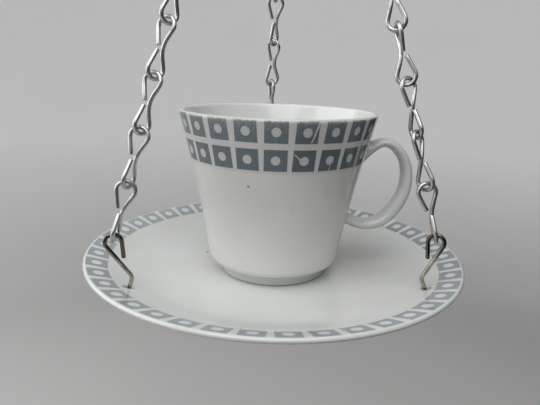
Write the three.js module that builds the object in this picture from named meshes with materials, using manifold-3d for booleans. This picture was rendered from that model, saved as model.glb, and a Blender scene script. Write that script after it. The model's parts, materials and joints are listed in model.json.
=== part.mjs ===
// A teacup bird feeder: a porcelain cup fixed on its drilled saucer, hung by S-hooks on three jack chains.
// Millimetres, +Z up. The origin is the point inside the hanging hook's upper bow that bears the load.
// The photographed side faces -Y.

import * as THREE from 'three';
import { mergeVertices } from 'three/addons/utils/BufferGeometryUtils.js';
import Module from 'manifold-3d';

// Clearances
const seatGap = 0.3; // between pieces that rest on or fill one another
const linkPlay = 0.6; // between two wires that hang in one another
const hookPlay = 0.4; // between the ring and the hanging hook

// Cup, heights above the bottom of its foot
const cupRimRadius = 38.3;
const cupHeight = 64.4;
const cupWall = 2.6;
const cupFloor = 4.2;
const cupLipRadius = 1.1;
const cupBodyRadius = 26.4;
const cupBodyHeight = 7.0;
const cupFlare = 0.8; // how far the wall's middle lies inside a straight cone
const cupFootRadius = 21.8;
const cupFootHeight = 3.9;
const cupFootWidth = 3.2;
const cupFootRecess = 2.4;
const cupInnerRound = 6.0;

// Handle: its plane, its centre line as [reach from the cup wall, height], and its section's half sizes
const handleAzimuth = 5;
const handleLine = [[-2.6, 48.2], [8.4, 52.7], [16.4, 47.6], [21.0, 39.1], [21.3, 29.5], [16.1, 20.7], [7.7, 18.7], [-2.4, 22.7]];
const handleHalfThick = [[0.12, 1.9], [0.25, 2.0], [0.45, 2.45], [0.65, 2.85], [0.85, 2.2]]; // [share of the line, size]
const handleHalfWide = 3.9;
const handleUpperFlare = 1.7; // how much the section grows in thickness at each root
const handleLowerFlare = 0.6;
const handleSideFlare = 0.4; // and in width
const handleRootLength = 0.15; // share of the centre line over which each root flares

// Saucer, heights from the plane through the middle of its rounded rim
const saucerRadius = 75;
const saucerRimRound = 1.0;
const saucerWall = 3.0;
const saucerWellRadius = 26;
const saucerDepth = 8.0;
const saucerDish = [[35, -7.5], [23, -6.0], [13, -3.2], [7.5, -1.1]]; // [inward from the edge, height] between well and rim
const saucerFootRadius = 41;
const saucerFootWidth = 3.2;
const saucerFootHeight = 2.6;

// Holes for the S-hooks, drilled by hand, with directions in degrees
const holeRadius = 1.8;
const holeInset = { back: 12.7, left: 12.8, right: 12.0 }; // from the saucer's edge
const holeAzimuth = { back: 94.5, left: 216.2, right: 332.4 };

// S-hook that joins a chain to its hole
const sHookWire = 1.5;
const sHookBow = 2.75; // bend radius of the wire's middle line
const sHookTip = 6.0;
const sHookLean = 30.5;
const sHookDiagonal = { back: 8.6, left: 13, right: 13 }; // bent by hand, the back one shorter
const sHookShankLean = 20.5;
const sHookStandoff = 2.45; // from the saucer's surface up to the end of the knee bend
const sHookShankRun = 0.5; // straight below the middle of the saucer's wall
const sHookUnderTurn = 88;
const sHookUnderRun = 2.4; // straight end below the saucer's wall
const sHookTilt = { back: -8, left: 4, right: -5 }; // degrees outward, as each one hangs
const sHookTwist = { back: 0, left: -6, right: 9 }; // degrees about the upright line through its hole
const sHookRoll = { back: 0, left: -12, right: 0 }; // degrees about the line from its hole to its bow's centre
const sHookPlay = { back: 0, left: 0.2, right: 0 }; // added to linkPlay where a bow lies aslant in its link

// Jack chain: each link is one wire bent to two loops, the lower one turned from the upper one
const linkWire = 1.5;
const linkLength = 20.7; // over the middle line of the wire
const linkLoop = 3.1; // bend radius of the wire's middle line
const linkLoopTurn = 76; // degrees from the upper loop's plane to the lower one's
const linkWaistOffset = 0.65;
const linkWaistHeight = 1.2;
const linkEndOffset = 1.25;
const linkEndHeight = 0.9;
const linksPerChain = 12;

// Turn of the upper loop about the chain's line as [link counted from below, degrees from the tangent]
const chainTwist = {
  back: [[1, 90], [3, 104], [4, 136], [5, 164], [12, 265]],
  left: [[1, 68], [2, 50], [3, 35], [5, 25], [12, -37]],
  right: [[1, -57], [2, -12], [3, -28], [4, 28], [5, 14], [12, 27]],
};

// Ring that gathers the chains, and how far apart their top loops sit on it
const ringWire = 2.0;
const ringRadius = 8.0;
const ringSeatSpacing = 3.6;

// Hanging hook
const hookWire = 2.0;
const hookUpperBow = 9.0;
const hookLowerBow = 5.0;
const hookLean = 30;
const hookUpperTip = 2.0;
const hookLowerTurn = 185;

// Faceting
const roundSegments = 44;
const padSegments = 24;
const ringSegments = 24;
const boreSegments = 12;
const handleSides = 12;
const handleSteps = 18;
const cupSteps = 4; // to each curve of the cup's profile
const coreLevels = 6;
const dishSteps = 9;
const underSteps = 2;
const dishSamples = 200;
const wireSides = 6;
const loopSteps = 6;
const bowSteps = 7;
const kneeSteps = 3;
const underBowSteps = 3;
const hookUpperSteps = 10;
const hookLowerSteps = 9;

const wasm = await Module();
wasm.setup();

const radians = THREE.MathUtils.degToRad;
const porcelain = new THREE.MeshStandardMaterial({ color: 0xe4e5e1, roughness: 0.12, metalness: 0 });
const zincWire = new THREE.MeshStandardMaterial({ color: 0xb4b8b6, roughness: 0.28, metalness: 1 });
const nickelWire = new THREE.MeshStandardMaterial({ color: 0x8f887a, roughness: 0.22, metalness: 1 });
const clearGlue = new THREE.MeshStandardMaterial({ color: 0xd9d6c8, roughness: 0.5, metalness: 0 });

// The value at a place in a list of [place, value], even between two of them
function lookUp(keys, place) {
  const next = keys.findIndex(([at]) => at >= place);
  if (next === 0) return keys[0][1];
  if (next < 0) return keys[keys.length - 1][1];
  const [[placeA, valueA], [placeB, valueB]] = [keys[next - 1], keys[next]];
  return THREE.MathUtils.mapLinear(place, placeA, placeB, valueA, valueB);
}

// Solids for joining and cutting

function toSolid(geometry) {
  const bare = geometry.clone();
  bare.deleteAttribute('normal');
  bare.deleteAttribute('uv');
  const merged = mergeVertices(bare, 1e-4);
  const index = merged.index.array;
  const kept = [];
  for (let i = 0; i < index.length; i += 3) {
    const [a, b, c] = [index[i], index[i + 1], index[i + 2]];
    if (a !== b && b !== c && c !== a) kept.push(a, b, c);
  }
  const vertProperties = new Float32Array(merged.attributes.position.array);
  return new wasm.Manifold(new wasm.Mesh({ numProp: 3, vertProperties, triVerts: new Uint32Array(kept) }));
}

function toGeometry(solid) {
  const mesh = solid.getMesh();
  const geometry = new THREE.BufferGeometry();
  geometry.setAttribute('position', new THREE.BufferAttribute(new Float32Array(mesh.vertProperties), 3));
  geometry.setIndex(new THREE.BufferAttribute(new Uint32Array(mesh.triVerts), 1));
  return geometry;
}

// A closed profile of radius and height, turned about Z
function turned(points) {
  const geometry = new THREE.LatheGeometry(points, roundSegments);
  geometry.rotateX(Math.PI / 2);
  return geometry;
}

// Wire paths

// A path whose steps are the given points, so that bends get short steps and straight runs long ones
class PointPath extends THREE.Curve {
  constructor(points) {
    super();
    this.points = points;
  }

  getUtoTmapping(u) {
    return u;
  }

  getPoint(t, target = new THREE.Vector3()) {
    const place = t * (this.points.length - 1);
    const i = Math.min(Math.floor(place), this.points.length - 2);
    return target.lerpVectors(this.points[i], this.points[i + 1], place - i);
  }
}

// Bends a wire in a plane: straight runs, and arcs that turn left for positive degrees
class WireBender {
  constructor(x, y, heading) {
    this.at = new THREE.Vector2(x, y);
    this.heading = radians(heading);
    this.points = [this.at.clone()];
  }

  straight(length) {
    this.at.add(new THREE.Vector2(Math.cos(this.heading), Math.sin(this.heading)).multiplyScalar(length));
    this.points.push(this.at.clone());
    return this;
  }

  bend(radius, degrees, steps) {
    const side = Math.sign(degrees);
    const toCentre = this.heading + side * Math.PI / 2;
    const centre = new THREE.Vector2(Math.cos(toCentre), Math.sin(toCentre)).multiplyScalar(radius).add(this.at);
    const turn = radians(degrees);
    for (let i = 1; i <= steps; i += 1) {
      const angle = toCentre + Math.PI + turn * i / steps;
      this.at = new THREE.Vector2(Math.cos(angle), Math.sin(angle)).multiplyScalar(radius).add(centre);
      this.points.push(this.at.clone());
    }
    this.heading += turn;
    return this;
  }
}

// A round wire along a path, its polygon section as large as the true circle
function wireGeometry(points, diameter) {
  const corner = diameter / 2 * Math.sqrt(2 * Math.PI / (wireSides * Math.sin(2 * Math.PI / wireSides)));
  const section = [];
  for (let i = 0; i < wireSides; i += 1) {
    const angle = 2 * Math.PI * i / wireSides;
    section.push(new THREE.Vector2(corner * Math.cos(angle), corner * Math.sin(angle)));
  }
  const options = { steps: points.length - 1, extrudePath: new PointPath(points) };
  return new THREE.ExtrudeGeometry(new THREE.Shape(section), options);
}

// Cup

// The wall is a conic curve whose height is even along it, so its radius at a height is direct
function cupWallRadius(height) {
  const t = (height - cupBodyHeight) / (cupHeight - cupLipRadius - cupBodyHeight);
  const middle = (cupBodyRadius + cupRimRadius) / 2 - 2 * cupFlare;
  return (1 - t) ** 2 * cupBodyRadius + 2 * t * (1 - t) * middle + t ** 2 * cupRimRadius;
}

function cupProfile() {
  const lipHeight = cupHeight - cupLipRadius;
  const middleHeight = (lipHeight + cupBodyHeight) / 2;
  const middleRadius = (cupBodyRadius + cupRimRadius) / 2 - 2 * cupFlare;
  const floorHeight = cupFootRecess + cupFloor;
  const innerHeight = floorHeight + cupInnerRound;
  const innerRadius = cupWallRadius(innerHeight) - cupWall;
  const profile = new THREE.Path();
  profile.moveTo(0, cupFootRecess);
  profile.lineTo(cupFootRadius - cupFootWidth, cupFootRecess);
  profile.lineTo(cupFootRadius - cupFootWidth, 0);
  profile.lineTo(cupFootRadius, 0);
  profile.lineTo(cupFootRadius, cupFootHeight);
  profile.quadraticCurveTo(cupBodyRadius - cupFlare, cupFootHeight, cupBodyRadius, cupBodyHeight);
  profile.quadraticCurveTo(middleRadius, middleHeight, cupRimRadius, lipHeight);
  profile.absarc(cupRimRadius - cupLipRadius, lipHeight, cupLipRadius, 0, Math.PI);
  profile.quadraticCurveTo(middleRadius - cupWall, middleHeight, innerRadius, innerHeight);
  profile.quadraticCurveTo(innerRadius - cupFlare, floorHeight, innerRadius - cupInnerRound, floorHeight);
  profile.lineTo(0, floorHeight);
  return profile.getPoints(cupSteps);
}

// A solid cone that stops the handle's roots in the middle of the wall
function cupCore() {
  const inset = cupWall / 2;
  const base = cupFootRecess + cupFloor;
  const points = [new THREE.Vector2(0, base), new THREE.Vector2(cupWallRadius(base) - inset, base)];
  for (let i = 1; i <= coreLevels; i += 1) {
    const height = base + (cupHeight - base) * i / coreLevels;
    points.push(new THREE.Vector2(cupWallRadius(height) - inset, height));
  }
  points.push(new THREE.Vector2(0, cupHeight));
  return turned(points);
}

// An oval strap lofted along the handle's centre line, thicker towards its roots
function handleGeometry() {
  const line = new THREE.CatmullRomCurve3(
    handleLine.map(([reach, height]) => new THREE.Vector3(cupWallRadius(height) + reach, 0, height)),
  );
  const across = new THREE.Vector3(0, 1, 0);
  const positions = [];
  const index = [];
  for (let i = 0; i <= handleSteps; i += 1) {
    const u = i / handleSteps;
    const centre = line.getPointAt(u);
    const outward = new THREE.Vector3().crossVectors(across, line.getTangentAt(u)).normalize();
    const root = Math.max(0, 1 - Math.min(u, 1 - u) / handleRootLength) ** 2;
    const flare = u < 0.5 ? handleUpperFlare : handleLowerFlare;
    const halfThick = lookUp(handleHalfThick, u) * (1 + flare * root);
    const halfWide = handleHalfWide * (1 + handleSideFlare * root);
    for (let j = 0; j < handleSides; j += 1) {
      const angle = 2 * Math.PI * j / handleSides;
      const point = centre.clone();
      point.addScaledVector(outward, halfThick * Math.cos(angle));
      point.addScaledVector(across, halfWide * Math.sin(angle));
      positions.push(point.x, point.y, point.z);
    }
  }
  for (let i = 0; i < handleSteps; i += 1) {
    for (let j = 0; j < handleSides; j += 1) {
      const next = (j + 1) % handleSides;
      const [a, b] = [i * handleSides + j, i * handleSides + next];
      const [c, d] = [a + handleSides, b + handleSides];
      index.push(a, b, d, a, d, c);
    }
  }
  const last = handleSteps * handleSides;
  for (let j = 1; j < handleSides - 1; j += 1) {
    index.push(0, j + 1, j);
    index.push(last, last + j, last + j + 1);
  }
  const geometry = new THREE.BufferGeometry();
  geometry.setAttribute('position', new THREE.Float32BufferAttribute(positions, 3));
  geometry.setIndex(index);
  geometry.rotateZ(radians(handleAzimuth));
  return geometry;
}

function makeCup() {
  const handle = toSolid(handleGeometry()).subtract(toSolid(cupCore()));
  const solid = toSolid(turned(cupProfile())).add(handle);
  const cup = new THREE.Mesh(toGeometry(solid), porcelain);
  cup.name = 'cup';
  cup.position.z = seatGap - saucerDepth;
  return cup;
}

// A pad of adhesive in the hollow of the cup's foot
function makeAdhesive() {
  const radius = cupFootRadius - cupFootWidth - seatGap;
  const thickness = cupFootRecess - seatGap;
  const geometry = new THREE.CylinderGeometry(radius, radius, thickness, padSegments);
  geometry.rotateX(Math.PI / 2);
  const adhesive = new THREE.Mesh(geometry, clearGlue);
  adhesive.name = 'adhesive_pad';
  adhesive.position.z = seatGap - saucerDepth + thickness / 2;
  return adhesive;
}

// Saucer

// The dish's points between well and rim, with [radius, height]
const dishPoints = saucerDish.map(([inset, height]) => new THREE.Vector2(saucerRadius - inset, height));

// The dish's upper surface from the well's edge to the top of the rim
function dishCurve() {
  const well = new THREE.Vector2(saucerWellRadius, -saucerDepth);
  const rim = new THREE.Vector2(saucerRadius - saucerRimRound, saucerRimRound);
  return new THREE.SplineCurve([well, ...dishPoints, rim]);
}

function dishHeight(radius) {
  const samples = dishCurve().getPoints(dishSamples);
  const i = Math.max(1, samples.findIndex((point) => point.x >= radius));
  const [low, high] = [samples[i - 1], samples[i]];
  return THREE.MathUtils.mapLinear(radius, low.x, high.x, low.y, high.y);
}

function saucerProfile() {
  const underFloor = -saucerDepth - saucerWall;
  const footBottom = underFloor - saucerFootHeight;
  const footInner = saucerFootRadius - saucerFootWidth;
  const rimMiddle = saucerRadius - saucerRimRound;
  const footTop = dishHeight(saucerFootRadius) - saucerWall;
  const underPoints = dishPoints.filter((point) => point.x > saucerFootRadius)
    .map((point) => new THREE.Vector2(point.x, point.y - saucerWall));
  const profile = new THREE.Path();
  profile.moveTo(0, underFloor);
  profile.lineTo(footInner, underFloor);
  profile.lineTo(footInner, footBottom);
  profile.lineTo(saucerFootRadius, footBottom);
  profile.lineTo(saucerFootRadius, footTop);
  profile.splineThru([...underPoints, new THREE.Vector2(rimMiddle, -saucerRimRound)]);
  profile.absarc(rimMiddle, 0, saucerRimRound, -Math.PI / 2, Math.PI / 2);
  const top = dishCurve().getPoints(dishSteps).reverse();
  return [...profile.getPoints(underSteps), ...top.slice(1), new THREE.Vector2(0, -saucerDepth)];
}

function holePlace(side) {
  const radius = saucerRadius - holeInset[side];
  const middle = dishHeight(radius) - saucerWall / 2;
  const angle = radians(holeAzimuth[side]);
  return new THREE.Vector3(radius * Math.cos(angle), radius * Math.sin(angle), middle);
}

function makeSaucer() {
  let solid = toSolid(turned(saucerProfile()));
  const drillLength = 4 * saucerWall;
  for (const side of Object.keys(holeAzimuth)) {
    const drill = new THREE.CylinderGeometry(holeRadius, holeRadius, drillLength, boreSegments);
    drill.rotateX(Math.PI / 2);
    drill.translate(...holePlace(side));
    solid = solid.subtract(toSolid(drill));
  }
  const saucer = new THREE.Mesh(toGeometry(solid), porcelain);
  saucer.name = 'saucer';
  return saucer;
}

// S-hooks, bent in the plane of X outward and Z up, and then set with the shank in the middle of its hole

// The bent wire as far as the middle of the saucer's wall, from the upper bow's top at the origin
function sHookPath(side) {
  const path = new WireBender(-sHookBow, -sHookBow - sHookTip, 90);
  path.straight(sHookTip);
  path.bend(sHookBow, -180 - sHookLean, bowSteps);
  path.straight(sHookDiagonal[side]);
  path.bend(sHookBow, sHookLean + sHookShankLean, kneeSteps);
  path.straight((sHookStandoff + saucerWall / 2) / Math.cos(radians(sHookShankLean)));
  return path;
}

function sHookGeometry(side) {
  const path = sHookPath(side);
  const shank = path.at.clone();
  path.straight(sHookShankRun);
  path.bend(sHookBow, sHookUnderTurn, underBowSteps);
  path.straight(sHookUnderRun);
  const points = path.points.map((point) => new THREE.Vector3(point.x - shank.x, 0, point.y - shank.y));
  return wireGeometry(points, sHookWire);
}

// From the hole to the upper bow's centre, before the hook is turned to its place
function sHookReach(side) {
  const shank = sHookPath(side).at;
  return new THREE.Vector3(-shank.x, 0, -shank.y - sHookBow);
}

function sHookTurn(side) {
  const lean = new THREE.Euler(0, radians(sHookTilt[side]), radians(holeAzimuth[side] + sHookTwist[side]), 'ZYX');
  const roll = new THREE.Quaternion().setFromAxisAngle(sHookReach(side).normalize(), radians(sHookRoll[side]));
  return new THREE.Quaternion().setFromEuler(lean).multiply(roll);
}

// The centre of the upper bow, which the chain pulls through
function sHookCentre(side) {
  return sHookReach(side).applyQuaternion(sHookTurn(side)).add(holePlace(side));
}

function makeSHook(side) {
  const hook = new THREE.Mesh(sHookGeometry(side), nickelWire);
  hook.name = `s_hook_${side}`;
  hook.position.copy(holePlace(side));
  hook.quaternion.copy(sHookTurn(side));
  return hook;
}

// Jack chain link: upper loop in the XZ plane, lower loop in an upright plane turned from it, waist at the origin

// The tangent lean of a leg from a point near the waist to the loop's circle
function legLean(offset, height) {
  const rise = linkLength / 2 - linkLoop - height;
  return Math.asin(linkLoop / Math.hypot(offset, rise)) - Math.atan2(offset, rise);
}

function linkGeometry() {
  const loopCentre = linkLength / 2 - linkLoop;
  const endLean = legLean(linkEndOffset, linkEndHeight);
  const waistLean = legLean(linkWaistOffset, linkWaistHeight);
  const upper = [new THREE.Vector3(-linkEndOffset, 0, linkEndHeight)];
  for (let i = 0; i <= loopSteps; i += 1) {
    const angle = THREE.MathUtils.lerp(Math.PI + endLean, -waistLean, i / loopSteps);
    upper.push(new THREE.Vector3(linkLoop * Math.cos(angle), 0, loopCentre + linkLoop * Math.sin(angle)));
  }
  upper.push(new THREE.Vector3(linkWaistOffset, 0, linkWaistHeight));
  // The lower half is the upper half turned over about the level line halfway between the two planes
  const [ahead, aside] = [Math.cos(radians(linkLoopTurn)), Math.sin(radians(linkLoopTurn))];
  const lower = upper.map((point) => new THREE.Vector3(ahead * point.x, aside * point.x, -point.z)).reverse();
  const waist = upper[upper.length - 1].clone().add(lower[0]).divideScalar(3);
  return wireGeometry([...upper, waist, ...lower], linkWire);
}

// Places of the hanging parts, from the bearing point downwards

const hookReach = (hookUpperBow + hookLowerBow) / Math.sin(radians(hookLean)); // between the two bows' centres
const hookUpperCentre = hookWire / 2 - hookUpperBow;
const hookBottom = hookUpperCentre - hookReach - hookLowerBow;
const ringCentre = hookBottom + (hookWire + ringWire) / 2 + hookPlay - ringRadius;
const lowSeat = sHookBow - (linkWire + sHookWire) / 2 - linkPlay; // above the bow's centre, less the hook's own play
const highSeat = (linkWire + ringWire) / 2 + linkPlay;
const linkOverlap = linkWire + linkPlay;
const chainSpan = linksPerChain * (linkLength - linkOverlap) + linkOverlap + lowSeat - sHookPlay.back - highSeat;

function ringSeat(side) {
  const offset = { back: 0, left: -ringSeatSpacing, right: ringSeatSpacing }[side];
  return new THREE.Vector3(offset, 0, ringCentre - Math.sqrt(ringRadius ** 2 - offset ** 2));
}

// Height of the saucer's rim plane, set by the back chain
const backCentre = sHookCentre('back');
const backDrop = Math.sqrt(chainSpan ** 2 - backCentre.x ** 2 - backCentre.y ** 2);
const feederHeight = ringSeat('back').z - backDrop - backCentre.z;

function makeChain(side) {
  const low = sHookCentre(side).add(new THREE.Vector3(0, 0, feederHeight));
  const high = ringSeat(side);
  const span = low.distanceTo(high);
  const along = high.clone().sub(low).normalize();
  const seat = lowSeat - sHookPlay[side];
  const pitch = (span - seat + highSeat - linkLength) / (linksPerChain - 1);
  const angle = radians(holeAzimuth[side] + 90);
  const tangent = new THREE.Vector3(Math.cos(angle), Math.sin(angle), 0);
  tangent.addScaledVector(along, -tangent.dot(along)).normalize();
  const chain = new THREE.Group();
  for (let number = 1; number <= linksPerChain; number += 1) {
    const link = new THREE.Mesh(linkGeometry(), zincWire);
    link.name = `link_${side}_${String(number).padStart(2, '0')}`;
    const axisX = tangent.clone().applyAxisAngle(along, radians(lookUp(chainTwist[side], number)));
    const axisY = new THREE.Vector3().crossVectors(along, axisX);
    link.quaternion.setFromRotationMatrix(new THREE.Matrix4().makeBasis(axisX, axisY, along));
    link.position.copy(low).addScaledVector(along, linkLength / 2 + seat + (number - 1) * pitch);
    chain.add(link);
  }
  return chain;
}

function makeRing() {
  const geometry = new THREE.TorusGeometry(ringRadius, ringWire / 2, wireSides, ringSegments);
  geometry.rotateX(Math.PI / 2);
  const ring = new THREE.Mesh(geometry, zincWire);
  ring.name = 'ring';
  ring.position.z = ringCentre;
  return ring;
}

// The hanging hook lies in the YZ plane, square to the ring
function makeHangingHook() {
  const path = new WireBender(hookUpperBow, hookUpperCentre - hookUpperTip, 90);
  path.straight(hookUpperTip);
  path.bend(hookUpperBow, 180 + hookLean, hookUpperSteps);
  path.straight((hookUpperBow + hookLowerBow) / Math.tan(radians(hookLean)));
  path.bend(hookLowerBow, -hookLowerTurn - hookLean, hookLowerSteps);
  const points = path.points.map((point) => new THREE.Vector3(0, point.x, point.y));
  const hook = new THREE.Mesh(wireGeometry(points, hookWire), nickelWire);
  hook.name = 'hanging_hook';
  return hook;
}

const birdFeeder = new THREE.Group();
const feeder = new THREE.Group();
feeder.position.z = feederHeight;
feeder.add(makeCup(), makeAdhesive(), makeSaucer());
for (const side of Object.keys(holeAzimuth)) {
  feeder.add(makeSHook(side));
  birdFeeder.add(makeChain(side));
}
birdFeeder.add(feeder, makeRing(), makeHangingHook());

export default birdFeeder;
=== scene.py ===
import json
import math

import bpy
import numpy as np
from mathutils import Matrix, Vector


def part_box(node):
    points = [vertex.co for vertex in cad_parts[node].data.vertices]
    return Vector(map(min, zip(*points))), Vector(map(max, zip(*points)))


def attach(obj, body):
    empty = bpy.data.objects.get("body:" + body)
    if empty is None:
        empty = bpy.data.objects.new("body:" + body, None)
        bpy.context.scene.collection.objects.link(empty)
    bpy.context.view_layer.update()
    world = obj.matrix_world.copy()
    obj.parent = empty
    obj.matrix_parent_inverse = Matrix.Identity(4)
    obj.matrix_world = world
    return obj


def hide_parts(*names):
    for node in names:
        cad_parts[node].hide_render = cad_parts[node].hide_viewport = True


# A porcelain cup on its drilled saucer, hung on three jack chains.
# Lengths in the dictionaries are millimetres, angles are degrees; meshes and the frame are in metres.

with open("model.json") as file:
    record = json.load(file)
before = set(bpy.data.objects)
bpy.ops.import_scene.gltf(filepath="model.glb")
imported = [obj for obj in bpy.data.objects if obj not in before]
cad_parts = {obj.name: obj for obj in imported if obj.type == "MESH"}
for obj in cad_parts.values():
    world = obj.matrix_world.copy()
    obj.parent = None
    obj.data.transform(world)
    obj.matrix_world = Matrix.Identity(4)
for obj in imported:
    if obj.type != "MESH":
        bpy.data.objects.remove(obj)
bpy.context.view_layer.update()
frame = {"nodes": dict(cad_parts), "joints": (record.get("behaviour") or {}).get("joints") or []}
scene = bpy.context.scene
mm = 0.001
joints = {joint["child"]: joint for joint in frame["joints"]}
rimRound = 1.0  # radius of the saucer's rounded rim
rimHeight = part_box("saucer")[1].z / mm - rimRound  # plane through the middle of that rim
footHeight = rimHeight - 7.7  # bottom of the cup's foot, just above the well
print("frame: %d nodes, saucer rim at %.1f mm" % (len(frame["nodes"]), rimHeight))


def addObject(name, data):
    thing = bpy.data.objects.new(name, data)
    scene.collection.objects.link(thing)
    return thing


# Camera

view = {
    "place": (0.0, -194.585, 71.299),  # height is above the saucer's rim
    "focalPixels": 493.232,
    "imageWidth": 540,
    "sensor": 36.0,
    "yaw": -0.010743,  # radians, as the next two
    "pitch": -0.261128,
    "roll": 0.032534,
    "clip": (0.005, 20.0),  # metres
}


def makeCamera():
    yaw, pitch, roll = view["yaw"], view["pitch"], view["roll"]
    forward = np.array([math.sin(yaw) * math.cos(pitch), math.cos(yaw) * math.cos(pitch), math.sin(pitch)])
    level = np.array([math.cos(yaw), -math.sin(yaw), 0.0])
    upright = np.cross(level, forward)
    right = math.cos(roll) * level + math.sin(roll) * upright
    up = -math.sin(roll) * level + math.cos(roll) * upright
    place = (np.array(view["place"]) + [0, 0, rimHeight]) * mm
    turn = np.eye(4)
    turn[:3] = np.column_stack([right, up, -forward, place])
    lens = bpy.data.cameras.new("photoCamera")
    lens.sensor_fit = "HORIZONTAL"
    lens.sensor_width = view["sensor"]
    lens.lens = view["sensor"] * view["focalPixels"] / view["imageWidth"]
    lens.clip_start, lens.clip_end = view["clip"]
    camera = addObject("photoCamera", lens)
    camera.matrix_world = Matrix(turn.tolist())
    scene.camera = camera


makeCamera()
scene.view_settings.view_transform = "Standard"
print("camera: lens %.2f mm" % scene.camera.data.lens)

# Lines and surfaces


def unit(vectors):
    return vectors / np.linalg.norm(vectors, axis=-1, keepdims=True)


# Vectors less their share along a heading, which is a unit vector
def squareTo(vectors, heading):
    return vectors - heading * np.sum(vectors * heading, axis=-1, keepdims=True)


# Matrix of a turn about the upright axis
def uprightTurn(degrees):
    cosine, sine = math.cos(math.radians(degrees)), math.sin(math.radians(degrees))
    return np.array([[cosine, -sine, 0], [sine, cosine, 0], [0, 0, 1]])


# A flat drawing stood up in the XZ plane
def stoodUp(line):
    return np.stack([line[:, 0], 0 * line[:, 0], line[:, 1]], -1)


def distanceAlong(line):
    return np.concatenate([[0], np.cumsum(np.linalg.norm(np.diff(line, axis=0), axis=1))])


# Points on a line at the wanted values of a measure that rises from each of its points to the next
def resample(line, measure, wanted):
    return np.stack([np.interp(wanted, measure, column) for column in line.T], -1)


# Resamples a line evenly, rounds its corners with a bell curve of that width, and then keeps rows
# no further apart than the long step and no more than the turn step (degrees) from each other
def softLine(points, rounding, longStep, turnStep):
    fine = 0.05
    points = np.asarray(points, float)
    lengths = distanceAlong(points)
    line = resample(points, lengths, np.linspace(0, lengths[-1], int(lengths[-1] / fine) + 1))
    reach = max(1, int(3 * rounding / fine))
    weights = np.exp(-0.5 * (np.arange(-reach, reach + 1) * fine / rounding) ** 2)
    weights /= weights.sum()
    before = 2 * line[0] - line[reach:0:-1]
    after = 2 * line[-1] - line[-2:-reach - 2:-1]
    padded = np.concatenate([before, line, after])
    soft = np.stack([np.convolve(column, weights, "valid") for column in padded.T], -1)
    heading = unit(np.gradient(soft, axis=0))
    turned = np.degrees(np.linalg.norm(np.diff(heading, axis=0), axis=1))
    run = np.linalg.norm(np.diff(soft, axis=0), axis=1)
    rows = np.concatenate([[0], np.cumsum(run / longStep + turned / turnStep)])
    return resample(soft, rows, np.linspace(0, rows[-1], int(math.ceil(rows[-1])) + 1))


# A quadratic curve between two points, bent towards a third
def bowed(first, middle, last, count=24):
    t = np.linspace(0, 1, count)[:, None]
    return (1 - t) ** 2 * np.array(first) + 2 * t * (1 - t) * np.array(middle) + t ** 2 * np.array(last)


# A cubic curve between two points with a given slope at each
def cubic(t, first, firstSlope, last, lastSlope):
    return ((2 * t ** 3 - 3 * t ** 2 + 1) * first + (t ** 3 - 2 * t ** 2 + t) * firstSlope
            + (-2 * t ** 3 + 3 * t ** 2) * last + (t ** 3 - t ** 2) * lastSlope)


# A smooth curve through points: cubic pieces whose slope at a point follows its two neighbours
def splineThrough(points, count):
    points = np.asarray(points, float)
    place = np.linspace(0, len(points) - 1, count)
    index = np.minimum(place.astype(int), len(points) - 2)
    before, first = points[np.maximum(index - 1, 0)], points[index]
    last, after = points[index + 1], points[np.minimum(index + 2, len(points) - 1)]
    return cubic((place - index)[:, None], first, (last - before) / 2, last, (after - first) / 2)


# A wire bent in a plane: runs are straight lengths, or pairs of bend radius and degrees to the left
def bentWire(start, heading, runs):
    place, angle = np.array(start, float), math.radians(heading)
    parts = [place[None]]
    for run in runs:
        if isinstance(run, tuple):
            radius, degrees = run
            turn = math.radians(degrees)
            toCentre = angle + math.copysign(math.pi / 2, degrees)
            centre = place + radius * np.array([math.cos(toCentre), math.sin(toCentre)])
            swing = toCentre + math.pi + turn * np.linspace(0, 1, 40)[1:]
            part = centre + radius * np.stack([np.cos(swing), np.sin(swing)], -1)
            angle += turn
        else:
            part = place[None] + run * np.array([[math.cos(angle), math.sin(angle)]])
        parts.append(part)
        place = part[-1]
    return np.concatenate(parts)


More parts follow.
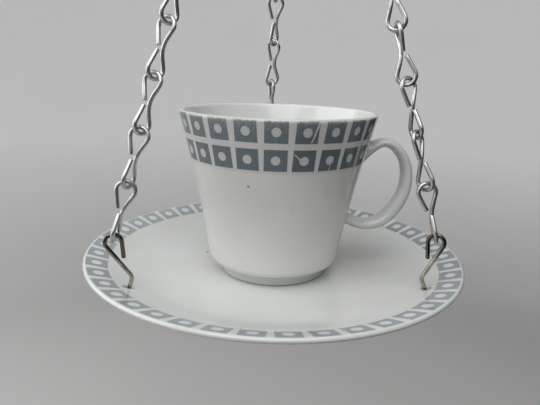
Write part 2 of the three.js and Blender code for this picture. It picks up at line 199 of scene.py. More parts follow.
# Joins rings of points to a closed mesh. The first and last ring end in a point, or meet each other.
# The UV map holds the share of the turn around a ring and the given distance along the rings.
def ringMesh(name, points, along, joined=False):
    rows, cols = points.shape[:2]
    if joined:
        verts = points.reshape(-1, 3)
        index = np.arange(rows * cols).reshape(rows, cols)
        index = np.concatenate([index, index[:1]])
        inner = along
    else:
        verts = np.concatenate([points[0, :1], points[1:-1].reshape(-1, 3), points[-1, :1]])
        index = 1 + np.arange((rows - 2) * cols).reshape(rows - 2, cols)
        inner = along[1:-1]
    beside = np.roll(index, -1, axis=1)
    turn, nextTurn = np.arange(cols) / cols, np.arange(1, cols + 1) / cols
    left, low = np.meshgrid(turn, inner[:-1])
    right, high = np.meshgrid(nextTurn, inner[1:])
    quads = np.stack([index[:-1], beside[:-1], beside[1:], index[1:]], -1).reshape(-1, 4)
    quadUv = np.stack([left, low, right, low, right, high, left, high], -1)
    faces, uvs = [quads], [quadUv.reshape(-1, 4, 2)]
    if not joined:
        middle = (turn + nextTurn) / 2
        poles = ((0, beside[0], index[0], nextTurn, turn, along[0], inner[0]),
                 (len(verts) - 1, index[-1], beside[-1], turn, nextTurn, along[-1], inner[-1]))
        for pole, second, third, secondTurn, thirdTurn, poleAlong, ringAlong in poles:
            tip, tipAlong, edgeAlong = (np.full(cols, value) for value in (pole, poleAlong, ringAlong))
            tipUv = np.stack([middle, tipAlong, secondTurn, edgeAlong, thirdTurn, edgeAlong], -1)
            faces.append(np.stack([tip, second, third], -1))
            uvs.append(tipUv.reshape(-1, 3, 2))
    a, b, c, d = np.moveaxis(verts[quads], 1, 0)
    volume = np.sum(a * np.cross(b, c)) + np.sum(a * np.cross(c, d))
    if volume < 0:  # the rings run the other way, so all faces are turned over
        faces, uvs = [face[:, ::-1] for face in faces], [uv[:, ::-1] for uv in uvs]
    mesh = bpy.data.meshes.new(name)
    mesh.from_pydata((verts * mm).tolist(), [], sum((face.tolist() for face in faces), []))
    layer = mesh.uv_layers.new(name="wrap")
    layer.data.foreach_set("uv", np.concatenate([uv.reshape(-1) for uv in uvs]))
    mesh.shade_smooth()
    return mesh


# Radii and heights carried round the upright axis; the radius may differ from column to column
def turnedRings(radius, height, columns):
    angle = np.linspace(0, 2 * np.pi, columns, endpoint=False)
    return np.stack([radius * np.cos(angle), radius * np.sin(angle), np.repeat(height, columns, 1)], -1)


# Rings of a cut wire end, as shares of the wire's radius: how far each stands out, and its size
wireEnd = {"reach": [0.2, 0.2, 0.17, 0.10], "size": [0.0, 0.72, 0.88, 0.97]}


# A circle carried along a path. Side is a vector square to the path at each of its points.
# An open wire's ends are cuts with a rounded edge, made of a few rings that shrink.
def wireMesh(name, path, side, radius, sides, joined=False):
    if joined:
        heading = unit(np.roll(path, -1, axis=0) - np.roll(path, 1, axis=0))
    else:
        heading = unit(np.gradient(path, axis=0))
    side = unit(squareTo(side, heading))
    across = np.cross(heading, side)
    size = np.full(len(path), radius)
    along = distanceAlong(path)
    if joined:
        along = np.append(along, along[-1] + np.linalg.norm(path[0] - path[-1]))
    else:
        reach, endSize = np.array(wireEnd["reach"]) * radius, np.array(wireEnd["size"]) * radius
        front = path[:1] - reach[:, None] * heading[0]
        back = path[-1:] + reach[::-1, None] * heading[-1]
        path = np.concatenate([front, path, back])
        more = ((len(reach), len(reach)), (0, 0))
        side, across = np.pad(side, more, "edge"), np.pad(across, more, "edge")
        size = np.concatenate([endSize, size, endSize[::-1]])
        along = np.concatenate([along[0] - reach, along, along[-1] + reach[::-1]])
    angle = np.linspace(0, 2 * np.pi, sides, endpoint=False)[None, :, None]
    ring = side[:, None] * np.cos(angle) + across[:, None] * np.sin(angle)
    return ringMesh(name, path[:, None] + size[:, None, None] * ring, along, joined)


def addPiece(name, mesh, material, body, node):
    piece = addObject(name, mesh)
    mesh.materials.append(material)
    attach(piece, body)
    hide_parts(node)
    return piece


# Shader maths


# Wraps a socket so that an expression on values adds Math nodes to its tree
class Value:
    def __init__(self, tree, socket):
        self.tree, self.socket = tree, socket

    def combine(self, operation, values):
        node = self.tree.nodes.new("ShaderNodeMath")
        node.operation = operation
        for place, value in enumerate(values):
            if isinstance(value, Value):
                self.tree.links.new(value.socket, node.inputs[place])
            else:
                node.inputs[place].default_value = value
        return Value(self.tree, node.outputs[0])

    def math(self, operation, *others):
        return self.combine(operation, (self, *others))

    def __add__(self, other):
        return self.math("ADD", other)

    __radd__ = __add__

    def __sub__(self, other):
        return self.math("SUBTRACT", other)

    def __rsub__(self, other):
        return self.combine("SUBTRACT", (other, self))

    def __mul__(self, other):
        return self.math("MULTIPLY", other)

    __rmul__ = __mul__

    def __truediv__(self, other):
        return self.math("DIVIDE", other)

    def __abs__(self):
        return self.math("ABSOLUTE")

    def least(self, other):
        return self.math("MINIMUM", other)

    def most(self, other):
        return self.math("MAXIMUM", other)

    def floor(self):
        return self.math("FLOOR")

    def root(self):
        return self.math("SQRT")

    # 0 at and below low, 1 at and above high, an even rise between; low may be the larger
    def rise(self, low, high):
        return ((self - low) / (high - low)).most(0.0).least(1.0)


# One material's tree, with one method for every node that isn't plain maths
class Finish:
    def __init__(self, name):
        self.material = bpy.data.materials.new(name)
        self.material.use_nodes = True
        self.tree = self.material.node_tree
        self.tree.nodes.clear()

    def node(self, kind, settings=None, sockets=None, out=0):
        node = self.tree.nodes.new("ShaderNode" + kind)
        for key, value in (settings or {}).items():
            setattr(node, key, value)
        for key, value in (sockets or {}).items():
            if isinstance(value, Value):
                self.tree.links.new(value.socket, node.inputs[key])
            else:
                node.inputs[key].default_value = value
        return Value(self.tree, node.outputs[out]) if len(node.outputs) else None

    # Object coordinates in millimetres, as a vector and as three values
    def objectPlace(self):
        coords = self.node("TexCoord", out="Object")
        scaled = self.node("VectorMath", {"operation": "SCALE"}, {0: coords, "Scale": 1 / mm})
        split = self.node("SeparateXYZ", {}, {0: scaled})
        return scaled, [Value(self.tree, socket) for socket in split.socket.node.outputs]

    def noise(self, place, size, detail=2.0, roughness=0.5):
        sockets = {"Vector": place, "Scale": 1 / size, "Detail": detail, "Roughness": roughness}
        return self.node("TexNoise", {}, sockets)

    # A Mix node's colours are its inputs 6 and 7, and the mixed colour is its output 2
    def mix(self, share, first, second):
        first, second = (end if isinstance(end, Value) else (*end, 1) for end in (first, second))
        return self.node("Mix", {"data_type": "RGBA"}, {"Factor": share, 6: first, 7: second}, 2)

    # Relief in millimetres
    def bump(self, height):
        return self.node("Bump", {}, {"Height": height, "Distance": mm, "Strength": 1.0})

    def finish(self, **sockets):
        sockets = {key.replace("_", " "): value for key, value in sockets.items()}
        self.node("OutputMaterial", {}, {"Surface": self.node("BsdfPrincipled", {}, sockets)})
        return self.material


# A colour given by its levels on a screen, 0 to 255
def linear(*levels):
    return tuple(((level / 255 + 0.055) / 1.055) ** 2.4 for level in levels)


# Porcelain

porcelain = {
    "white": linear(213, 216, 214),
    "warm": linear(207, 208, 204),
    "cupWhite": linear(217, 216, 213),
    "inside": linear(222, 224, 222),  # the cup's inside, which has no print over it, painted whiter than the outside's glaze as painted light for the light bounced round inside the cup
    "print": linear(91, 103, 109),
    "printPale": linear(118, 130, 135),
    "saucerPrint": linear(122, 136, 144),
    "saucerPrintPale": linear(150, 161, 167),
    "footShade": linear(176, 184, 177),  # painted shade above the foot, greyer and greener than the glaze
    "speck": linear(96, 78, 58),
    "bareFoot": linear(196, 192, 182),
    "bareDull": 0.5,  # added to the roughness there
    "roughness": 0.09,
    "patchDull": 0.07,
    "ripple": 0.012,  # heights of the glaze's slow and fine unevenness
    "peel": 0.0016,
}

# Heights on the cup are above the saucer's rim plane
cupPattern = {
    "columns": 23,
    "first": -90.55,  # direction of one column's middle
    "rowMiddle": 52.4,  # upper row
    "rowPitch": 9.65,
    "halfWidth": 3.95,
    "halfHeight": 3.78,
    "dotRadius": 1.54,
    "middleRadius": 35.6,  # cup's radius at the band, for lengths round it
    "wallMiddle": (32.66, 38.3, 0.251),  # middle of the cup's wall: radius at a height, and slope
    "squareBlur": 0.12,
    "dotBlur": 0.1,
    "veil": (0.12, 0.1),  # thin colour over the white within the rows, and more of it in the dots
    "paleUpperAndSheen": (0.15, 0.2),  # how much paler the upper row is, and how much paler still it is on the left as painted sheen
    "sheenLeft": (-12, -34),
    "thickness": 0.006,
    "footShade": (-3.0, -6.2, 0.6),  # heights where the painted shade above the foot begins and is full, and its share
    "bare": (-7.35, -7.65),
}

# Wear of the cup's print. Lengths run round the cup from its front.
cupWear = {
    "front": (-10, -34),  # y between the sides and the front, where there is more wear
    "grain": {"from": 0.68, "span": 0.18, "share": 0.8, "band": (53.4, 56.4), "inBand": 0.06,
              "inFront": 0.17, "edge": (55.0, 56.4), "atEdge": 0.14},
    "haze": {"from": 0.56, "span": 0.3, "share": 0.34, "band": (51.0, 57.0), "inFront": 0.26,
             "above": (48, 50)},
    "scratches": [  # two ends, each a length and a height, and half the width
        ((12.7, 55.9), (12.1, 52.8), 0.17), ((12.1, 52.8), (11.2, 49.2), 0.13),
        ((6.0, 45.0), (8.1, 42.9), 0.06), ((8.1, 42.9), (8.3, 41.6), 0.04),
        ((19.6, 41.0), (19.4, 38.9), 0.05),
    ],
    "scratchBlur": 0.2,
    "scratchShare": 0.95,
    "wander": 0.9,
    "takesOff": 0.85,
    "dull": 0.2,
    "specks": [((-10.2, 33.0), 0.32, 0.54), ((6.8, 25.0), 0.06, 0.28), ((20.5, 30.5), 0.02, 0.24)],
    "speckShare": 0.75,
}

saucerPattern = {
    "columns": 43,
    "first": -2.1,
    "middle": 69.95,
    "halfWidth": 4.05,
    "halfHeight": 3.9,
    "dotRadius": 1.85,
    "blur": 0.15,
    "upperSide": (62.5, -4.6, 0.36),  # a cone between the two sides: radius, height there and slope
    "share": 0.9,
    "glare": (10, 80, 0.9),  # painted glare: from where to where the print grows paler towards the back left, and its share
    "thickness": 0.005,
    "dustShare": 0.5,
    "specks": [((-29.4, 12.4), 0.45, 0.75)],
    "speckShare": 0.8,
    "speckAbove": (-9.8, -9.4),
    "bare": (-13.25, -13.55),
}


# A square's edge and its dot as distances: negative inside. Edges wander a little as screen print does.
def squareAndDot(finish, place, across, up, pattern):
    wander = (finish.noise(place, 1.1, 3.0) - 0.5) * 0.2
    square = (abs(across) - pattern["halfWidth"]).most(abs(up) - pattern["halfHeight"]) + wander
    dot = (across * across + up * up).root() - pattern["dotRadius"] + wander * 0.8
    return square, dot


# Distance in a plane from a point to the straight line between two points
def lineDistance(across, up, first, last):
    (ax, ay), (bx, by) = first, last
    dx, dy = bx - ax, by - ay
    span = dx * dx + dy * dy
    share = (((across - ax) * dx + (up - ay) * dy) / span).most(0.0).least(1.0)
    offX = across - ax - share * dx
    offY = up - ay - share * dy
    return (offX * offX + offY * offY).root()


# Round marks in a plane, each with its place, its full radius and the radius where it ends
def roundMarks(across, up, marks):
    spots = None
    for (ax, ay), full, end in marks:
        dx, dy = across - ax, up - ay
        spot = (dx * dx + dy * dy).root().rise(end, full)
        spots = spot if spots is None else spots.most(spot)
    return spots


def porcelainBase(finish, place, white):
    cloud = finish.noise(place, 30, 2.0)
    return finish.mix(cloud.rise(0.35, 0.75), white, porcelain["warm"])


# Glaze: slow ripples a few millimetres long, fine orange peel, and slightly duller patches
def glaze(finish, place):
    ripple = finish.noise(place, 9, 1.0)
    peel = finish.noise(place, 1.3, 2.0)
    roughness = porcelain["roughness"] + porcelain["patchDull"] * finish.noise(place, 14, 3.0)
    return ripple * porcelain["ripple"] + peel * porcelain["peel"], roughness


# Worn share of the cup's print: grains rubbed off along the upper edge, a finer haze, and scratches
def wornShare(finish, place, y, height, arc):
    grain, haze = cupWear["grain"], cupWear["haze"]
    front = y.rise(*cupWear["front"])
    inBand = height.rise(*grain["band"]) * (grain["inBand"] + grain["inFront"] * front)
    atEdge = height.rise(*grain["edge"]) * grain["atEdge"]
    patchy = finish.noise(place, 0.55, 4.0, 0.7) - grain["from"] + inBand + atEdge
    cloudy = finish.noise(place, 0.5, 3.0, 0.6) - haze["from"]
    cloudy = cloudy + height.rise(*haze["band"]) * haze["inFront"] * front
    hazy = cloudy.rise(0.0, haze["span"]) * haze["share"] * height.rise(*haze["above"])
    worn = (patchy.rise(0.0, grain["span"]) * grain["share"]).most(hazy)
    for first, last, width in cupWear["scratches"]:
        scratch = lineDistance(arc, height, first, last).rise(width + cupWear["scratchBlur"], width)
        worn = worn.most(scratch * cupWear["scratchShare"])
    return worn


def cupFinish():
    finish = Finish("cupGlaze")
    place, (x, y, z) = finish.objectPlace()
    height = z - rimHeight
    radius = (x * x + y * y).root()
    turn = y.math("ARCTAN2", x)
    pitch = 2 * math.pi / cupPattern["columns"]
    columns = (turn - math.radians(cupPattern["first"])) / pitch + 0.5
    across = (columns - columns.floor() - 0.5) * pitch * radius
    rows = (cupPattern["rowMiddle"] - height) / cupPattern["rowPitch"] + 0.5
    row = rows.floor()  # 0 is the upper row, 1 the lower
    up = (0.5 - (rows - row)) * cupPattern["rowPitch"]
    square, dot = squareAndDot(finish, place, across, up, cupPattern)
    inRows = (row + 0.5).rise(0.0, 0.02) * (row - 1.5).rise(0.0, -0.02)
    midRadius, midHeight, midSlope = cupPattern["wallMiddle"]
    outside = (radius - midRadius - (height - midHeight) * midSlope).rise(-0.2, 0.2)
    blur, dotBlur = cupPattern["squareBlur"], cupPattern["dotBlur"]
    printed = square.rise(blur, -blur) * dot.rise(-dotBlur, dotBlur) * inRows * outside
    arc = (turn + math.pi / 2) * cupPattern["middleRadius"]
    arc = arc + (finish.noise(place, 1.6, 2.0) - 0.5) * cupWear["wander"]
    worn = wornShare(finish, place, y, height, arc)
    # Ink with fine grain, slow patches, a paler upper row with painted sheen towards its left, and a thin
    # veil of it between the squares
    inUpper, sheenUpperLeft = cupPattern["paleUpperAndSheen"]
    pale = finish.noise(place, 0.5, 2.0).rise(0.3, 0.85) * 0.45 + 0.1 * finish.noise(place, 7, 2.0)
    # Painted sheen: the upper row is made paler still towards the left side
    pale = pale + row.rise(1.0, 0.0) * (inUpper + sheenUpperLeft * x.rise(*cupPattern["sheenLeft"]))
    tint = finish.mix(pale, porcelain["print"], porcelain["printPale"])
    # The inside gets a whiter copy of the glaze, which is painted light
    ground = finish.mix(outside, porcelain["inside"], porcelainBase(finish, place, porcelain["cupWhite"]))
    inVeil, inDots = cupPattern["veil"]
    veil = inRows * outside * (inVeil + inDots * dot.rise(0.2, -0.2))
    base = finish.mix((printed * (1 - worn * cupWear["takesOff"])).most(veil), ground, tint)
    # Dark specks on the front, painted shade above the foot, and bare fired clay under it
    spots = roundMarks(arc, height, cupWear["specks"]) * cupWear["speckShare"]
    base = finish.mix(spots * y.rise(0, -5), base, porcelain["speck"])
    # Painted shade: the glaze turns darker and greener just above the foot
    footShadeFrom, footShadeTo, footShadeShare = cupPattern["footShade"]
    base = finish.mix(height.rise(footShadeFrom, footShadeTo) * footShadeShare, base, porcelain["footShade"])
    bare = height.rise(*cupPattern["bare"])
    base = finish.mix(bare, base, porcelain["bareFoot"])
    relief, roughness = glaze(finish, place)
    roughness = roughness + bare * porcelain["bareDull"] + worn * printed * cupWear["dull"]
    relief = relief + printed * cupPattern["thickness"]
    return finish.finish(Base_Color=base, Roughness=roughness, Normal=finish.bump(relief))


def saucerFinish():
    finish = Finish("saucerGlaze")
    place, (x, y, z) = finish.objectPlace()
    height = z - rimHeight
    radius = (x * x + y * y).root()
    turn = y.math("ARCTAN2", x)
    pitch = 2 * math.pi / saucerPattern["columns"]
    columns = (turn - math.radians(saucerPattern["first"])) / pitch + 0.5
    across = (columns - columns.floor() - 0.5) * pitch * radius
    square, dot = squareAndDot(finish, place, across, radius - saucerPattern["middle"], saucerPattern)
    coneRadius, coneHeight, coneSlope = saucerPattern["upperSide"]
    upper = (height - (radius - coneRadius) * coneSlope - coneHeight).rise(0.0, 0.4)
    blur = saucerPattern["blur"]
    printed = square.rise(blur, -blur) * dot.rise(-blur, blur) * upper
    # Painted glare: the print is mixed paler towards the back left
    glareFrom, glareTo, glareShare = saucerPattern["glare"]
    glare = (y - 0.7 * x).rise(glareFrom, glareTo) * glareShare
    pale = finish.noise(place, 0.6, 2.0).rise(0.25, 0.85) * 0.6 + glare
    tint = finish.mix(pale, porcelain["saucerPrint"], porcelain["saucerPrintPale"])
    ground = porcelainBase(finish, place, porcelain["white"])
    base = finish.mix(printed * saucerPattern["share"], ground, tint)
    # Fine dark specks of dirt, one larger one in the dish, and bare fired clay under the foot
    dust = finish.noise(place, 2.6, 1.0).rise(0.80, 0.86) * finish.noise(place, 17, 1.0).rise(0.5, 0.6)
    spots = roundMarks(x, y, saucerPattern["specks"]) * height.rise(*saucerPattern["speckAbove"])
    dirt = (dust * saucerPattern["dustShare"]).most(spots * saucerPattern["speckShare"])
    base = finish.mix(dirt, base, porcelain["speck"])
    bare = height.rise(*saucerPattern["bare"])
    base = finish.mix(bare, base, porcelain["bareFoot"])
    relief, roughness = glaze(finish, place)
    relief = relief + printed * saucerPattern["thickness"]
    roughness = roughness + bare * porcelain["bareDull"]
    return finish.finish(Base_Color=base, Roughness=roughness, Normal=finish.bump(relief))


def handleFinish():
    finish = Finish("handleGlaze")
    place = finish.objectPlace()[0]
    relief, roughness = glaze(finish, place)
    base = porcelainBase(finish, place, porcelain["white"])
    return finish.finish(Base_Color=base, Roughness=roughness, Normal=finish.bump(relief))


# Metal wires and glue

zinc = {
    "bright": linear(192, 195, 194), "dull": linear(170, 173, 172), "grime": linear(112, 110, 106),
    "roughness": 0.31,
}
nickel = {
    "bright": linear(174, 169, 156), "dull": linear(142, 137, 124), "grime": linear(74, 67, 57),
    # darkReflection is the colour of the painted dark reflection on the S-hooks
    "roughness": 0.07, "darkReflection": linear(84, 74, 62),
}
plating = {
    "lines": (60.0, 0.5, 1.0),  # drawn lines: how many round the wire, and how fast they change along it
    "lineHeight": 0.0006, "spotHeight": 0.0004,
    "patch": 3.2, "patchDull": 0.1, "spot": 1.1,
    "dirtShare": 0.8, "dirtDull": 0.3, "dirtCovers": 0.6,
    "darkReflectionTo": 18.0,  # painted dark reflection from the S-hook's tip over its bow and a little beyond
    "darkReflectionBlur": 4.0, "darkReflectionWander": 6.0, "darkReflectionShare": 0.8,
}
glue = {"pale": linear(214, 209, 192), "deep": linear(190, 182, 158), "patch": 4.0, "roughness": 0.35}


# Plated wire: drawn lines along it, cloudy dull patches, and dirt that gathers in small spots; given a
# length, also a painted dark reflection from the wire's start up to it
def wireFinish(name, metal, darkReflectionTo=None):
    finish = Finish(name)
    place = finish.objectPlace()[0]
    wrap = finish.node("TexCoord", out="UV")
    drawn = finish.node("VectorMath", {"operation": "MULTIPLY"}, {0: wrap, 1: plating["lines"]})
    lines = finish.noise(drawn, 1.0, 3.0)
    cloud = finish.noise(place, plating["patch"], 3.0)
    spots = finish.noise(place, plating["spot"], 4.0, 0.6)
    base = finish.mix(cloud.rise(0.42, 0.72), metal["bright"], metal["dull"])
    dirt = (spots + cloud * 0.3).rise(0.80, 1.0)
    base = finish.mix(dirt * plating["dirtShare"], base, metal["grime"])
    # Painted reflection: the wire is darkened from its start to that length, as if it reflected a dark room
    if darkReflectionTo:
        blur = plating["darkReflectionBlur"]
        along = finish.node("SeparateXYZ", {}, {0: wrap}, "Y") + (cloud - 0.5) * plating["darkReflectionWander"]
        dark = along.rise(darkReflectionTo + blur, darkReflectionTo - blur) * plating["darkReflectionShare"]
        base = finish.mix(dark, base, metal["darkReflection"])
    roughness = metal["roughness"] + plating["patchDull"] * cloud + plating["dirtDull"] * dirt
    relief = finish.bump(lines * plating["lineHeight"] + spots * plating["spotHeight"])
    metallic = 1 - dirt * plating["dirtCovers"]
    return finish.finish(Base_Color=base, Metallic=metallic, Roughness=roughness, Normal=relief)


def glueFinish():
    finish = Finish("adhesive")
    cloud = finish.noise(finish.objectPlace()[0], glue["patch"], 3.0)
    base = finish.mix(cloud, glue["pale"], glue["deep"])
    roughness = glue["roughness"] + 0.3 * cloud
    return finish.finish(Base_Color=base, Roughness=roughness, Normal=finish.bump(cloud * 0.1))


cupGlaze, saucerGlaze, handleGlaze = cupFinish(), saucerFinish(), handleFinish()
zincWire, nickelWire = wireFinish("zincWire", zinc), wireFinish("nickelWire", nickel)
# The S-hooks' wire, with a painted dark reflection over the tip and bow
darkReflectingWire = wireFinish("darkReflectingWire", nickel, plating["darkReflectionTo"])
adhesive = glueFinish()
print("finishes: %d materials" % len(bpy.data.materials))

# Cup, heights above the bottom of its foot

cup = {
    "rimRadius": 38.3, "height": 64.4, "wall": 2.6, "floor": 4.2, "lipRadius": 1.1,
    "bodyRadius": 26.4, "bodyHeight": 7.0, "flare": 0.8,
    "footRadius": 21.8, "footHeight": 3.9, "footWidth": 3.2, "footRecess": 2.4, "footTaper": 0.3,
    "innerRound": 6.0,
    "rows": {"rounding": 0.35, "longStep": 1.4, "turnStep": 9}, "columns": 168,
}


# The wall's radius at a height: a quadratic curve that stays a little inside a straight cone
def wallRadius(height):
    t = (height - cup["bodyHeight"]) / (cup["height"] - cup["lipRadius"] - cup["bodyHeight"])
    middle = (cup["bodyRadius"] + cup["rimRadius"]) / 2 - 2 * cup["flare"]
    return (1 - t) ** 2 * cup["bodyRadius"] + 2 * t * (1 - t) * middle + t ** 2 * cup["rimRadius"]


# The closed profile runs from under the foot, up the outside, over the lip and down the inside to the floor
def cupProfile():
    rim, body, foot = cup["rimRadius"], cup["bodyRadius"], cup["footRadius"]
    low, flare, recess, taper = cup["bodyHeight"], cup["flare"], cup["footRecess"], cup["footTaper"]
    lip, lipRadius = cup["height"] - cup["lipRadius"], cup["lipRadius"]
    middle = ((body + rim) / 2 - 2 * flare, (lip + low) / 2)
    floor = recess + cup["floor"]
    innerHeight = floor + cup["innerRound"]
    inner = wallRadius(innerHeight) - cup["wall"]
    footInner = foot - cup["footWidth"]
    over = np.linspace(0, np.pi, 24)[:, None]
    parts = [
        [[0, recess], [footInner, recess], [footInner + taper, 0], [foot - taper, 0]],
        bowed((foot, cup["footHeight"]), (body - flare, cup["footHeight"]), (body, low)),
        bowed((body, low), middle, (rim, lip)),
        np.array([rim - lipRadius, lip]) + lipRadius * np.concatenate([np.cos(over), np.sin(over)], 1),
        bowed((rim - 2 * lipRadius, lip), (middle[0] - cup["wall"], middle[1]), (inner, innerHeight)),
        bowed((inner, innerHeight), (inner - flare, floor), (inner - cup["innerRound"], floor)),
        [[0, floor]],
    ]
    line = softLine(np.concatenate(parts), **cup["rows"])
    line[0, 0] = line[-1, 0] = 0
    return line


def makeCup():
    profile = cupProfile()
    rings = turnedRings(profile[:, :1], profile[:, 1:], cup["columns"]) + [0, 0, footHeight]
    mesh = ringMesh("cup_body", rings, distanceAlong(profile))
    addPiece("cup_body", mesh, cupGlaze, "feeder", "cup")


# Handle: centre line as reach from the cup's wall and height, and the ovals where it grows out of the wall

handle = {
    "azimuth": 5.0, "halfWide": 3.9,
    "line": [(0.1, 49.8), (8.4, 52.7), (16.4, 47.6), (21.0, 39.1), (21.3, 29.5), (16.1, 20.7),
             (7.7, 18.7), (-2.4, 22.7)],
    # Share of the line, and half the thickness there
    "halfThick": [(0.12, 1.91), (0.25, 2.0), (0.45, 2.46), (0.65, 2.87), (0.85, 2.18)],
    "free": (0.11, 0.905),  # share of the line where the strap is clear of its roots
    "upperRoot": {"height": 47.4, "halfHigh": 6.6, "halfWide": 5.6},
    "lowerRoot": {"height": 21.8, "halfHigh": 4.0, "halfWide": 5.2},
    "flow": (1.1, 7.0),  # how far the roots follow the wall and the strap
    "wallSlope": -0.2,
    "sunk": 0.06, "inWall": 0.9, "capInWall": 1.2,  # how deep the roots' edges, hidden ends and caps sit
    "steps": 90, "rootSteps": 22, "sides": 48,
}


# Rings that leave the cup's wall along the surface and turn smoothly into the strap's first ring:
# cubic curves from an oval on the wall, which sits just inside it, to that ring
def rootRings(root, ring, heading, angle):
    height = root["height"] + root["halfHigh"] * np.cos(angle)
    radius = wallRadius(height) - handle["sunk"]
    turn = root["halfWide"] * np.sin(angle) / radius
    start = np.stack([radius * np.cos(turn), radius * np.sin(turn), height], -1)
    middle = np.array([wallRadius(root["height"]), 0, root["height"]])
    normal = unit(np.stack([np.cos(turn), np.sin(turn), np.full_like(turn, handle["wallSlope"])], -1))
    inward = squareTo(middle - start, normal)
    onWall, onStrap = handle["flow"]
    t = np.linspace(0, 1, handle["rootSteps"])[:, None, None]
    return cubic(t, start, inward * onWall, ring, heading * onStrap)


# A root's hidden end inside the wall: a point, and the root's edge drawn in
def rootEnd(edge):
    cap = np.repeat(edge.mean(0, keepdims=True), handle["sides"], 0) - [handle["capInWall"], 0, 0]
    return np.stack([cap, edge - [handle["inWall"], 0, 0]])


# An oval section carried along the centre line in the handle's plane, with flowing roots at both ends
def makeHandle():
    points = [(wallRadius(height) + reach, height) for reach, height in handle["line"]]
    line = splineThrough(points, 600)
    run = distanceAlong(line)
    share = np.linspace(*handle["free"], handle["steps"])
    middle = resample(line, run, share * run[-1])
    thick = np.interp(share, *np.array(handle["halfThick"]).T)
    heading = stoodUp(unit(np.gradient(middle, axis=0)))
    middle = stoodUp(middle)
    over = np.stack([-heading[:, 2], heading[:, 1], heading[:, 0]], -1)  # away from the finger gap
    angle = np.linspace(0, 2 * np.pi, handle["sides"], endpoint=False)
    offset = over[:, None] * (thick[:, None] * np.cos(angle))[:, :, None]
    width = np.array([0, 1, 0]) * (handle["halfWide"] * np.sin(angle))[None, :, None]
    strap = middle[:, None] + offset + width
    upper = rootRings(handle["upperRoot"], strap[0], heading[0], angle)
    lower = rootRings(handle["lowerRoot"], strap[-1], -heading[-1], np.pi - angle)
    rings = np.concatenate([rootEnd(upper[0]), upper[:-1], strap, lower[-2::-1], rootEnd(lower[0])[::-1]])
    rings = rings @ uprightTurn(handle["azimuth"]).T + [0, 0, footHeight]
    mesh = ringMesh("cup_handle", rings, distanceAlong(rings.mean(1)))
    addPiece("cup_handle", mesh, handleGlaze, "feeder", "cup")


# Saucer, heights from the plane through the middle of its rim

saucer = {
    "radius": 75.0, "wall": 3.0, "wellRadius": 26.0, "depth": 8.0,
    "dish": [(40, -7.5), (52, -6.0), (62, -3.2), (67.5, -1.1)],
    "underTo": 68.0,  # radius where the underside goes over to the rim
    "footRadius": 41.0, "footWidth": 3.2, "footHeight": 2.6,
    "rows": {"rounding": 0.4, "longStep": 1.3, "turnStep": 9}, "columns": 216,
}

# Drilled holes: heights of the rings from the middle of the wall, and how far the edge chips out there
drilling = {
    "radius": 1.8, "sides": 40,
    "heights": [-9.0, -8.9, -1.9, -1.45, 1.2, 1.62, 2.2, 3.0, 3.1],
    "chipped": [0, 0.25, 0.25, 0.0, 0.0, 0.1, 0.3, 0.4, 0.0],
    "waves": (2, 3, 5, 7, 9),
}


# The closed profile runs from under the well, over the foot ring and the rim, and back along the dish
def saucerProfile():
    rim, depth = saucer["radius"] - rimRound, saucer["depth"]
    dish = splineThrough([(saucer["wellRadius"], -depth), *saucer["dish"], (rim, rimRound)], 200)
    under = dish - [0, saucer["wall"]]
    floor = -depth - saucer["wall"]
    bottom = floor - saucer["footHeight"]
    foot, inner = saucer["footRadius"], saucer["footRadius"] - saucer["footWidth"]
    over = np.linspace(-np.pi / 2, np.pi / 2, 24)[:, None]
    parts = [
        [[0, floor], [inner - 0.5, floor], [inner + 0.2, bottom], [foot - 0.3, bottom]],
        under[(under[:, 0] > foot + 0.4) & (under[:, 0] < saucer["underTo"])],
        np.array([rim, 0]) + rimRound * np.concatenate([np.cos(over), np.sin(over)], 1),
        dish[::-1][1:],
        [[0, -depth]],
    ]
    line = softLine(np.concatenate(parts), **saucer["rows"])
    line[0, 0] = line[-1, 0] = 0
    return line


# A drill: a round rod that is a little wider, in uneven waves, where it chipped the glaze on its way out
def makeDrill(name, place, seed):
    draw = np.random.default_rng(seed)
    heights, chipped = np.array(drilling["heights"]), np.array(drilling["chipped"])
    angle = np.linspace(0, 2 * np.pi, drilling["sides"], endpoint=False)
    chips = sum(draw.uniform(0.2, 1) / n * np.cos(n * angle + draw.uniform(0, 6.3))
                for n in drilling["waves"])
    radius = drilling["radius"] + chipped[:, None] * np.maximum(0, 0.5 + 0.6 * chips)
    radius[[0, -1]] = 0
    rings = turnedRings(radius, heights[:, None], drilling["sides"])
    return addObject(name, ringMesh(name, rings + place, heights))


def makeSaucer():
    profile = saucerProfile()
    rings = turnedRings(profile[:, :1], profile[:, 1:], saucer["columns"]) + [0, 0, rimHeight]
    mesh = ringMesh("saucer_dish", rings, distanceAlong(profile))
    piece = addPiece("saucer_dish", mesh, saucerGlaze, "feeder", "saucer")
    bpy.context.view_layer.objects.active = piece
    for seed, side in enumerate(("back", "left", "right")):
        drill = makeDrill("drill_" + side, np.array(joints["s_hook_" + side]["pos_m"]) / mm, seed)
        cut = piece.modifiers.new("hole", "BOOLEAN")
        cut.operation, cut.solver, cut.object = "DIFFERENCE", "EXACT", drill
        bpy.ops.object.modifier_apply(modifier=cut.name)
        bpy.data.objects.remove(drill)
    piece.data.shade_smooth()
    piece.data.materials.clear()
    piece.data.materials.append(saucerGlaze)


# S-hooks: bent in the plane of outward and up, and turned to their place with the shank in its hole

sHook = {
    "wire": 1.5, "bow": 2.75, "tip": 6.0, "lean": 30.5, "shankLean": 20.5, "standoff": 2.45,
    "diagonal": {"back": 8.6, "left": 13.0, "right": 13.0},
    "shankRun": 0.5, "underTurn": 88.0, "underRun": 2.4,
    "azimuth": {"back": 94.5, "left": 216.2, "right": 332.4},
    "tilt": {"back": -8.0, "left": 4.0, "right": -5.0},
    "twist": {"back": 0.0, "left": -6.0, "right": 9.0},
    "roll": {"back": 0.0, "left": -12.0, "right": 0.0},  # about the line from the hole to the bow's centre
    "rows": {"rounding": 0.3, "longStep": 1.6, "turnStep": 8}, "sides": 20,
}


